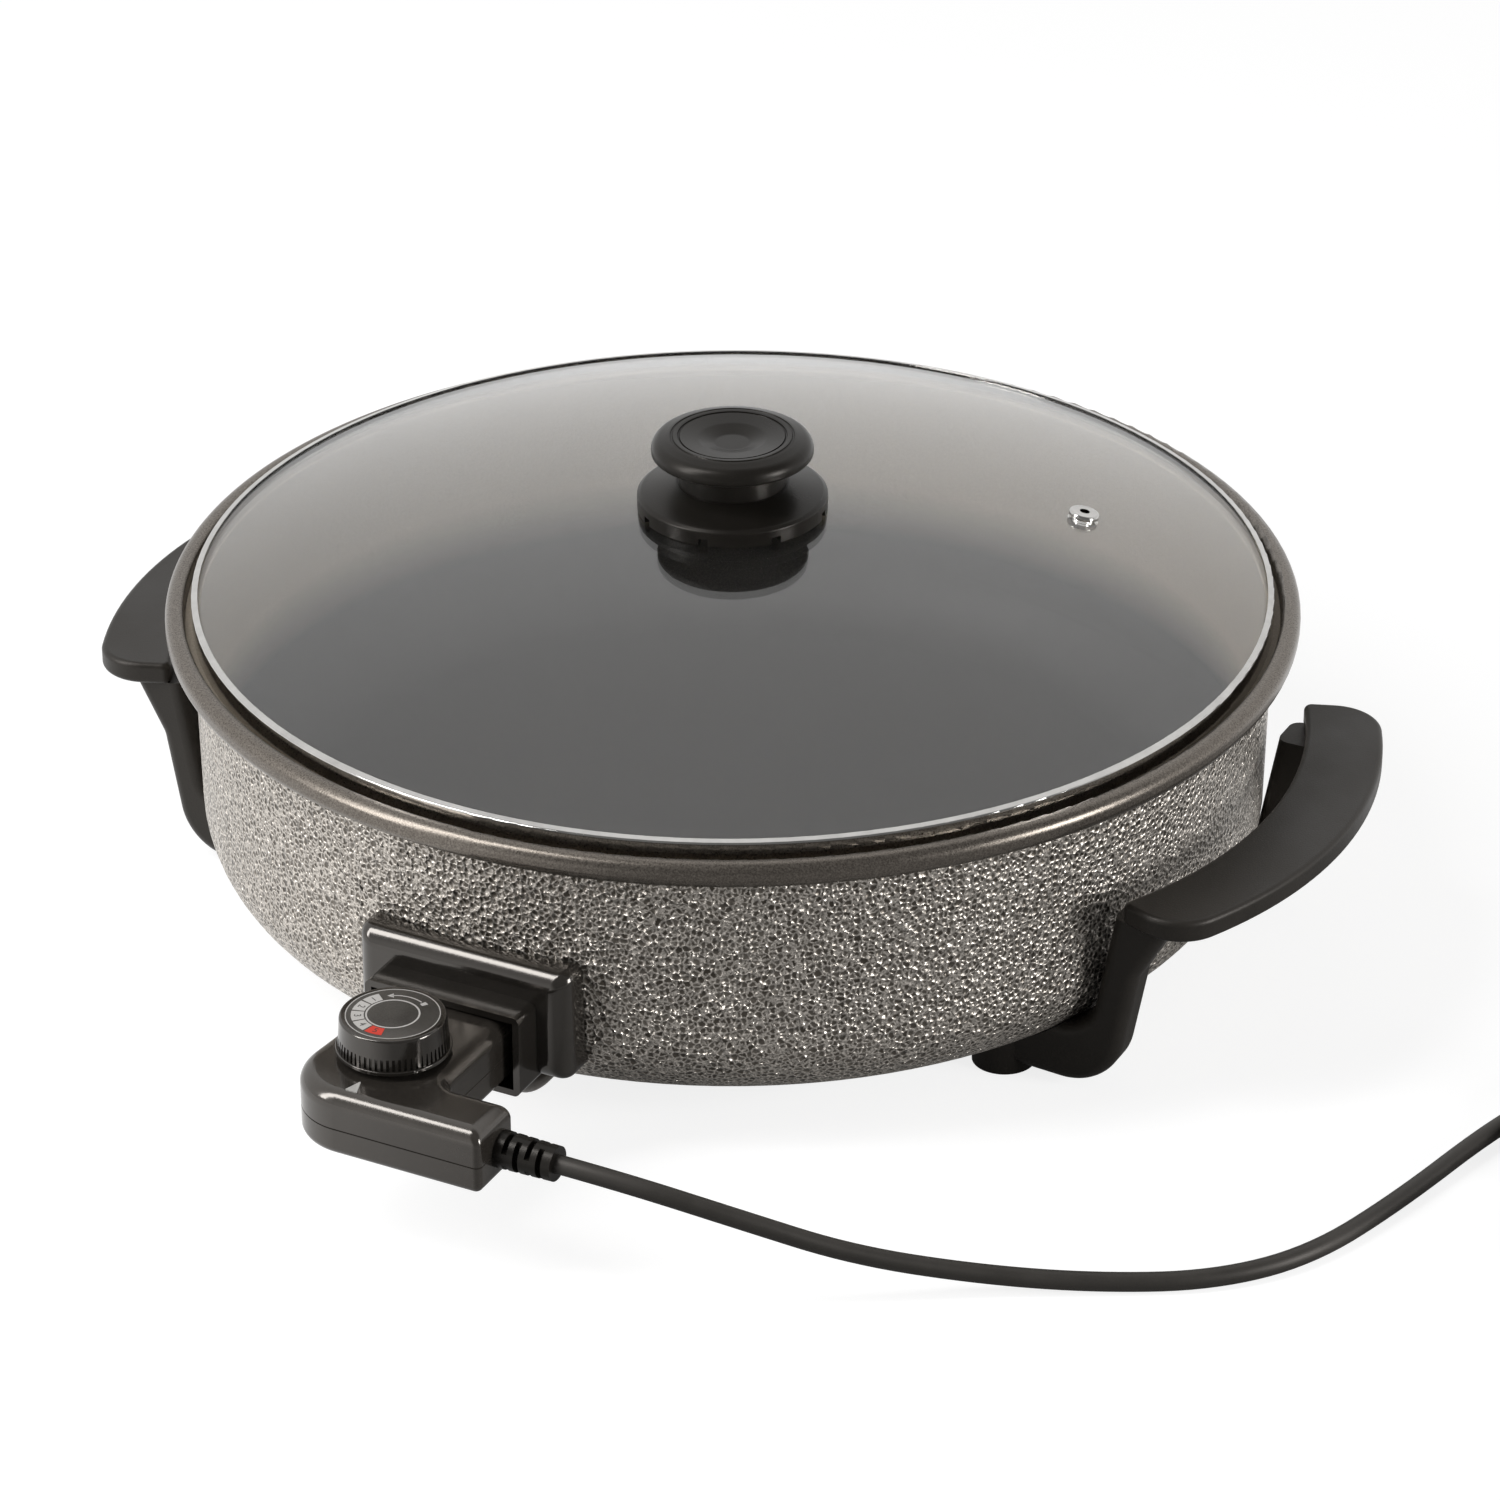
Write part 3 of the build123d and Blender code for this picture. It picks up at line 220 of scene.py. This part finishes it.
metals = {
    "bandSteel": {"dark": (0.48, 0.47, 0.455), "light": (0.60, 0.59, 0.57), "roughness": 0.09},
    "screwSteel": {"dark": (0.42, 0.41, 0.40), "light": (0.58, 0.57, 0.55), "roughness": 0.30},
    "heaterSteel": {"dark": (0.16, 0.15, 0.14), "light": (0.26, 0.24, 0.22), "roughness": 0.42, "grain": 500.0},
    "contactBrass": {"dark": (0.52, 0.40, 0.18), "light": (0.66, 0.52, 0.26), "roughness": 0.28},
    "plugNickel": {"dark": (0.56, 0.55, 0.53), "light": (0.70, 0.69, 0.67), "roughness": 0.2},
}
materials.update({name: metalMaterial(name, **look) for name, look in metals.items()})

# Pan
panLook = {
    "outward": (0.02, 0.08), "downward": (-0.2, -0.3), "rimFoot": (0.1132, 0.1136), "rimInner": (0.2014, 0.2018),
    "cellScale": 460.0, "cellDepth": (320.0, 640.0), "wobbleScale": 700.0, "wobble": 0.0016,
    "cellDark": (0.075, 0.064, 0.052), "cellLight": (0.205, 0.184, 0.159),
    "veinWidth": (0.07, 0.21), "veinGlintColour": (0.72, 0.67, 0.61),
    "breakScale": 1300.0, "breaks": (0.34, 0.58, 0.3, 1.0),
    "rollRadius": 0.205, "rollLow": 0.1173, "rollHigh": 0.1187, "rollStart": (0.2048, 0.2054),
    "grainScale": 1600.0, "grain": (0.4, 0.72), "grainDepth": 0.0006, "grainInside": 0.04, "grainWall": -0.02,
    "rimDark": (0.115, 0.100, 0.085), "rimLight": (0.225, 0.200, 0.173),
    "paintedLitRise": (0.050, 0.072), "paintedLitDark": (0.40, 0.345, 0.275), "paintedLitLight": (0.52, 0.455, 0.375),
    "coatDark": (0.012, 0.011, 0.010), "coatLight": (0.030, 0.028, 0.025),
    "roughness": (0.3, 0.7, 0.48, 0.56), "rimRoughness": -0.22, "wallRoughness": -0.14,
    "metallic": 0.8, "gloss": (0.2, 0.6),
}


def panMaterial(look):
    # Hammered enamel outside, satin enamel on the rim, and inside a dark coating whose upper wall is paled as
    # painted light
    material, tree, shader, coords = newMaterial("panEnamel")
    tint = {key: colour(*value) for key, value in look.items() if key.endswith(("Dark", "Light", "Colour"))}
    height = parts(tree, coords)["Z"]
    flat = vectors(tree, "MULTIPLY", coords, (1, 1, 0))
    outward = vectors(tree, "NORMALIZE", flat)
    radius = vectors(tree, "LENGTH", flat)
    normal = addNode(tree, "TexCoord").outputs["Normal"]
    facing = vectors(tree, "DOT_PRODUCT", outward, normal)
    outside = maths(tree, "MAXIMUM", spread(tree, facing, *look["outward"]),
                    spread(tree, parts(tree, normal)["Z"], *look["downward"]))
    belowRim = spread(tree, height, *look["rimFoot"], 1.0, 0.0)
    wall = maths(tree, "MULTIPLY", outside, belowRim)
    rim = maths(tree, "MULTIPLY", spread(tree, radius, *look["rimInner"]), maths(tree, "SUBTRACT", 1.0, belowRim))

    # Each hammered cell is a small bowl, so its normal leans towards the middle of the cell
    wobble = noise(tree, coords, look["wobbleScale"], 2.0, "Color")
    shift = vectors(tree, "SUBTRACT", wobble, (0.5, 0.5, 0.5))
    moved = vectors(tree, "MULTIPLY_ADD", shift, (look["wobble"],) * 3, coords)
    pattern = {"Vector": moved, "Scale": look["cellScale"]}
    edges = addNode(tree, "TexVoronoi", pattern, feature="DISTANCE_TO_EDGE").outputs[0]
    cells = addNode(tree, "TexVoronoi", pattern).outputs
    tone = addNode(tree, "SeparateColor", {0: cells["Color"]}).outputs[0]
    lean = vectors(tree, "SUBTRACT", cells["Position"], moved)
    depth = maths(tree, "MULTIPLY", wall, spread(tree, tone, 0.0, 1.0, *look["cellDepth"]))
    smooth = addNode(tree, "NewGeometry").outputs["Normal"]
    facet = vectors(tree, "MULTIPLY_ADD", lean, allThree(tree, depth), smooth)
    broken = spread(tree, noise(tree, coords, look["breakScale"], 2.0), *look["breaks"])
    ridge = maths(tree, "SUBTRACT", 1.0, spread(tree, edges, *look["veinWidth"]))
    cellColour = mixColour(tree, tone, tint["cellDark"], tint["cellLight"])
    # The pale veins are partly the paint's own silver ridges and partly painted highlight where the ridges catch
    # the lamps
    hammered = mixColour(tree, maths(tree, "MULTIPLY", ridge, broken), cellColour, tint["veinGlintColour"])

    # The roll of the rim is round, so its normal is worked out from its section
    across = maths(tree, "SUBTRACT", radius, maths(tree, "MINIMUM", radius, look["rollRadius"]))
    level = maths(tree, "MINIMUM", maths(tree, "MAXIMUM", height, look["rollLow"]), look["rollHigh"])
    upwards = addNode(tree, "CombineXYZ", {"Z": maths(tree, "SUBTRACT", height, level)}).outputs[0]
    rolled = vectors(tree, "NORMALIZE", vectors(tree, "MULTIPLY_ADD", outward, allThree(tree, across), upwards))
    roll = maths(tree, "MULTIPLY", rim, spread(tree, radius, *look["rollStart"]))
    facet = addNode(tree, "Mix", {0: roll, 4: facet, 5: rolled}, data_type="VECTOR").outputs[1]
    facet = vectors(tree, "NORMALIZE", facet)

    # Colours, from the inside out
    fine = noise(tree, coords, look["grainScale"], 2.0)
    grain = spread(tree, fine, *look["grain"])
    coating = mixColour(tree, grain, tint["coatDark"], tint["coatLight"])
    paintedLit = mixColour(tree, grain, tint["paintedLitDark"], tint["paintedLitLight"])
    satin = mixColour(tree, grain, tint["rimDark"], tint["rimLight"])
    # Painted light: above the corner the inside wall takes a pale colour standing for the light that falls on it
    # through the lid, while the floor keeps the dark coating
    base = mixColour(tree, spread(tree, height, *look["paintedLitRise"]), coating, paintedLit)
    base = mixColour(tree, rim, base, satin)
    base = mixColour(tree, wall, base, hammered)
    tree.links.new(base, shader.inputs["Base Color"])
    rough = maths(tree, "MULTIPLY_ADD", rim, look["rimRoughness"], spread(tree, fine, *look["roughness"]))
    rough = maths(tree, "MULTIPLY_ADD", wall, look["wallRoughness"], rough)
    tree.links.new(rough, shader.inputs["Roughness"])
    painted = maths(tree, "MAXIMUM", wall, rim)
    tree.links.new(maths(tree, "MULTIPLY", painted, look["metallic"]), shader.inputs["Metallic"])
    tree.links.new(spread(tree, rim, 0.0, 1.0, *look["gloss"]), shader.inputs["Specular IOR Level"])
    share = maths(tree, "MULTIPLY_ADD", wall, look["grainWall"], look["grainInside"])
    grainBump = bump(tree, shader, maths(tree, "MULTIPLY", fine, share), look["grainDepth"])
    tree.links.new(facet, grainBump.inputs["Normal"])
    return material


materials["panEnamel"] = panMaterial(panLook)

# Lid glass
glassLook = {"refraction": 1.5, "hazeScale": 9.0, "haze": (0.3, 0.7), "roughness": (0.0, 0.012),
             "dark": (0.975, 0.972, 0.962), "light": (0.99, 0.988, 0.98)}


def glassMaterial(look):
    # Clear glass with a trace of haze
    material, tree, shader, coords = newMaterial("lidGlass", Transmission_Weight=1.0, IOR=look["refraction"])
    haze = noise(tree, coords, look["hazeScale"], 4.0)
    base = mixColour(tree, spread(tree, haze, *look["haze"]), colour(*look["dark"]), colour(*look["light"]))
    tree.links.new(base, shader.inputs["Base Color"])
    tree.links.new(spread(tree, haze, *look["haze"], *look["roughness"]), shader.inputs["Roughness"])
    return material


materials["lidGlass"] = glassMaterial(glassLook)

finishes = {
    "panEnamel": ("pan_body",),
    "handleBakelite": ("left_handle", "right_handle"),
    "knobBakelite": ("lid_knob", "knob_skirt", "strain_relief", "plug_body"),
    "glossBlack": ("socket_housing", "dial"),
    "shellBlack": ("controller_top", "controller_bottom"),
    "dialFoil": ("dial_face",),
    "lidGlass": ("lid_glass",),
    "bandSteel": ("lid_band", "vent_eyelet"),
    "screwSteel": ("socket_screws", "handle_screws", "handle_washers", "knob_screw", "knob_washer",
                   "controller_screws", "earth_strip", "dial_shaft", "heat_probe", "probe_sleeve"),
    "heaterSteel": ("heating_element",),
    "contactBrass": ("terminal_pins", "contact_sleeves"),
    "plugNickel": ("plug_pins", "plug_earth"),
    "ceramicBead": ("terminal_insulators",),
    "sealSilicone": ("knob_seal",),
    "switchCase": ("thermostat",),
    "pointerLens": ("pointer_lens",),
    "lampGlass": ("pilot_lamp",),
    "tieBand": ("cord_tie",),
    "cordRubber": ("cord", "cord_coil"),
}
for finish, names in finishes.items():
    for name in names:
        nodes[name].material_slots[0].material = materials[finish]
print("materials made")

# Cord
cordFacts = {
    "exit": (0.0735, -0.27092, 0.046), "diameter": 0.0068, "length": 1.449,
    "route": [(0.0735, -0.27092, 0.046), (0.099, -0.27092, 0.046), (0.134, -0.257, 0.034),
              (0.167, -0.2375, 0.018), (0.203, -0.2145, 0.0075), (0.2383, -0.1958, 0.0036),
              (0.2728, -0.1766, 0.0036), (0.2965, -0.1477, 0.0036), (0.3104, -0.102, 0.0036),
              (0.32304, -0.0481, 0.0053), (0.33398, -0.01803, 0.0053)],
    "coilCentre": (0.3785, -0.027), "coilEntry": 160.0, "coilRadius": 0.0449, "coilPitch": 0.0074,
    "coilLow": 0.0053, "coilTurns": 4.5, "climbs": (4, 8), "plugAxis": 0.0185, "perTurn": 16,
    "leave": [(0.41836, -0.04875, 0.0185), (0.41494, -0.05815, 0.0185)],
}


def coilPoints(facts):
    # Two turns in on the lower layer, half a turn up and two turns out on the upper layer, and in
    # the last half turn up to the plug. The climbs start at these half turns.
    points = []
    step = 2 * math.pi / facts["perTurn"]
    total = 2 * math.pi * facts["coilTurns"]
    fuller = 1 / math.cos(step / 2)
    pitch = facts["coilPitch"]
    for index in range(1, round(total / step)):
        turn = index * step
        radius = (facts["coilRadius"] - pitch * min(turn, total - turn) / (2 * math.pi)) * fuller
        climbed = [min(max(turn / math.pi - start, 0), 1) for start in facts["climbs"]]
        rise = [(1 - math.cos(math.pi * part)) / 2 for part in climbed]
        height = facts["coilLow"] + pitch * rise[0]
        height += (facts["plugAxis"] - facts["coilLow"] - pitch) * rise[1]
        angle = math.radians(facts["coilEntry"]) - turn
        points.append((facts["coilCentre"][0] + radius * math.cos(angle),
                       facts["coilCentre"][1] + radius * math.sin(angle), height))
    return points


def makeCord(facts):
    curve = bpy.data.curves.new("cordLead", "CURVE")
    curve.dimensions = "3D"
    curve.bevel_depth = facts["diameter"] / 2
    curve.bevel_resolution = 6
    curve.resolution_u = 8
    curve.use_fill_caps = True
    points = facts["route"] + coilPoints(facts) + facts["leave"]
    spline = curve.splines.new("NURBS")
    spline.points.add(len(points) - 1)
    for point, place in zip(spline.points, points):
        point.co = (*place, 1.0)
    spline.order_u = 3
    spline.use_endpoint_u = True
    curve.materials.append(materials["cordRubber"])
    lead = addObject("cordLead", curve)
    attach(lead, "controller")
    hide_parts("cord", "cord_coil")
    return lead


cordLead = makeCord(cordFacts)
print("cord laid")

# Dial print
dialPrint = {"centre": (0.0, -0.252348), "top": 0.0745, "thick": 0.00006, "ring": (0.0088, 0.0094),
             "rimLine": (0.0160, 0.0163), "band": (0.0099, 0.0143), "fields": 5, "firstAngle": 153.0,
             "stepAngle": 29.5, "wedge": 26.4, "digitSize": 0.0036, "arrow": (66.0, 122.0), "arrowHalf": 0.0002,
             "arrowHead": 0.0015, "block": (55.0, 63.0), "blockHalf": 0.0011, "sharp": 35.0, "weld": 1e-7}


def arcBar(bm, facts, inner, outer, start, end, slot=0):
    # A flat printed bar between two radii and two angles in degrees
    low, high = facts["top"], facts["top"] + facts["thick"]
    before = set(bm.faces)
    corners = [bm.verts.new((radius, 0, height)) for radius, height in
               ((inner, low), (outer, low), (outer, high), (inner, high))]
    face = bm.faces.new(corners)
    bmesh.ops.rotate(bm, verts=corners, matrix=Matrix.Rotation(math.radians(start), 3, "Z"))
    full = end - start >= 360
    bmesh.ops.spin(bm, geom=list(face.edges) if full else [face], axis=(0, 0, 1), cent=(0, 0, 0),
                   angle=math.radians(end - start), steps=max(4, round((end - start) / 3)), use_merge=full)
    if full:
        bmesh.ops.delete(bm, geom=[face], context="FACES_ONLY")
    for item in bm.faces:
        if item not in before:
            item.material_index = slot


def digitMesh(text, size, thick):
    curve = bpy.data.curves.new("digit", "FONT")
    curve.body = text
    curve.size = size
    curve.extrude = thick / 2
    curve.align_x = "CENTER"
    curve.align_y = "CENTER"
    holder = addObject("digitHolder", curve)
    mesh = bpy.data.meshes.new_from_object(holder.evaluated_get(bpy.context.evaluated_depsgraph_get()))
    bpy.data.objects.remove(holder)
    bpy.data.curves.remove(curve)
    return mesh


def finishPrint(name, bm, facts, inks):
    # Move the print over the dial's axis and let it turn with the dial
    bmesh.ops.transform(bm, matrix=Matrix.Translation((*facts["centre"], 0)), verts=bm.verts)
    bmesh.ops.remove_doubles(bm, verts=bm.verts, dist=facts["weld"])
    bmesh.ops.recalc_face_normals(bm, faces=bm.faces)
    mesh = bpy.data.meshes.new(name)
    bm.to_mesh(mesh)
    bm.free()
    for ink in inks:
        mesh.materials.append(materials[ink])
    mesh.shade_smooth()
    mesh.set_sharp_from_angle(angle=math.radians(facts["sharp"]))
    obj = addObject(name, mesh)
    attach(obj, "dial")


def makeDialPrint(facts):
    # Two rings, the numbered fields with the last one red, and an arrow with a block at its foot
    inner, outer = facts["band"]
    middle = (inner + outer) / 2
    angles = [facts["firstAngle"] + index * facts["stepAngle"] for index in range(facts["fields"])]
    half = facts["wedge"] / 2
    bm = bmesh.new()
    arcBar(bm, facts, *facts["ring"], 0, 360)
    arcBar(bm, facts, *facts["rimLine"], 0, 360)
    for angle in angles:
        arcBar(bm, facts, inner, outer, angle - half, angle + half, 1 if angle == angles[-1] else 0)
    arcBar(bm, facts, middle - facts["arrowHalf"], middle + facts["arrowHalf"], *facts["arrow"])
    arcBar(bm, facts, middle - facts["blockHalf"], middle + facts["blockHalf"], *facts["block"])
    tip = Matrix.Rotation(math.radians(facts["arrow"][1]), 4, "Z")
    tip = tip @ Matrix.Translation((middle, 0, facts["top"] + facts["thick"] / 2))
    bmesh.ops.create_cone(bm, cap_ends=True, segments=3, radius1=facts["arrowHead"],
                          radius2=facts["arrowHead"], depth=facts["thick"], matrix=tip)
    finishPrint("dialPrint", bm, facts, ("paleInk", "redInk"))
    bm = bmesh.new()
    for index, angle in enumerate(map(math.radians, angles)):
        mesh = digitMesh(str(index + 1), facts["digitSize"], facts["thick"])
        spot = Vector((middle * math.cos(angle), middle * math.sin(angle), facts["top"] + facts["thick"]))
        mesh.transform(Matrix.Translation(spot) @ Matrix.Rotation(angle + math.pi / 2, 4, "Z"))
        bm.from_mesh(mesh)
        bpy.data.meshes.remove(mesh)
    finishPrint("dialDigits", bm, facts, ("darkInk",))


makeDialPrint(dialPrint)
print("dial printed")

# Stage
stageFacts = {"floorSize": 9.0, "floorGrey": 0.30, "floorRoughness": 0.9, "floorCamera": 0.82, "floorOther": 0.92,
              "floorDark": (60, 6), "worldCamera": 1.0, "worldOther": 1.0, "worldDark": (48, 46),
              "worldLight": 0.2, "darkEdge": (0.36, 0.66), "darkShare": 0.08, "lampAim": (0, 0, 0.08)}
softBoxes = {
    "keyBox": {"azimuth": -44, "elevation": 41, "distance": 2.2, "width": 0.5, "height": 2.3, "power": 44},
    "sideBox": {"azimuth": 90, "elevation": 12, "distance": 2.2, "width": 0.55, "height": 0.9, "power": 30},
}


def seenLevel(tree, way, cameraLevel, otherLevel, darkSide):
    # White where the camera, gloss or glass sees it, and dark in gloss on the camera's side
    ray = addNode(tree, "LightPath").outputs
    facing = vectors(tree, "DOT_PRODUCT", way, direction(*darkSide))
    shade = spread(tree, facing, *stageFacts["darkEdge"], otherLevel, otherLevel * stageFacts["darkShare"])
    glossy = maths(tree, "MULTIPLY", shade, ray["Is Glossy Ray"])
    passed = maths(tree, "MULTIPLY", ray["Is Transmission Ray"], otherLevel)
    both = maths(tree, "MAXIMUM", glossy, passed)
    return maths(tree, "MULTIPLY_ADD", ray["Is Camera Ray"], cameraLevel, both)


def makeFloor(facts):
    bm = bmesh.new()
    bmesh.ops.create_grid(bm, x_segments=2, y_segments=2, size=facts["floorSize"])
    mesh = bpy.data.meshes.new("floor")
    bm.to_mesh(mesh)
    bm.free()
    grey = facts["floorGrey"]
    material, tree, shader, coords = newMaterial(
        "paleFloor", Roughness=facts["floorRoughness"], Base_Color=colour(grey, grey, grey),
        Specular_IOR_Level=0.0, Emission_Color=colour(1, 1, 1))
    way = vectors(tree, "NORMALIZE", coords)
    seen = seenLevel(tree, way, facts["floorCamera"], facts["floorOther"], facts["floorDark"])
    tree.links.new(seen, shader.inputs["Emission Strength"])
    mesh.materials.append(material)
    addObject("floor", mesh)


def softBox(name, azimuth, elevation, distance, width, height, power):
    data = bpy.data.lights.new(name, "AREA")
    data.shape = "RECTANGLE"
    data.size = width
    data.size_y = height
    data.energy = power
    lamp = addObject(name, data)
    lamp.location = Vector(stageFacts["lampAim"]) + direction(azimuth, elevation) * distance
    lamp.rotation_mode = "QUATERNION"
    lamp.rotation_quaternion = direction(azimuth, elevation).to_track_quat("Z", "Y")


def makeWorld(facts):
    world = bpy.data.worlds.new("studio")
    scene.world = world
    world.use_nodes = True
    tree = world.node_tree
    way = addNode(tree, "TexCoord").outputs["Generated"]
    seen = seenLevel(tree, way, facts["worldCamera"], facts["worldOther"], facts["worldDark"])
    shader = tree.nodes["Background"]
    shader.inputs["Color"].default_value = colour(1, 1, 1)
    tree.links.new(maths(tree, "MAXIMUM", seen, facts["worldLight"]), shader.inputs["Strength"])


makeFloor(stageFacts)
for name, box in softBoxes.items():
    softBox(name, **box)
makeWorld(stageFacts)
print("stage set")
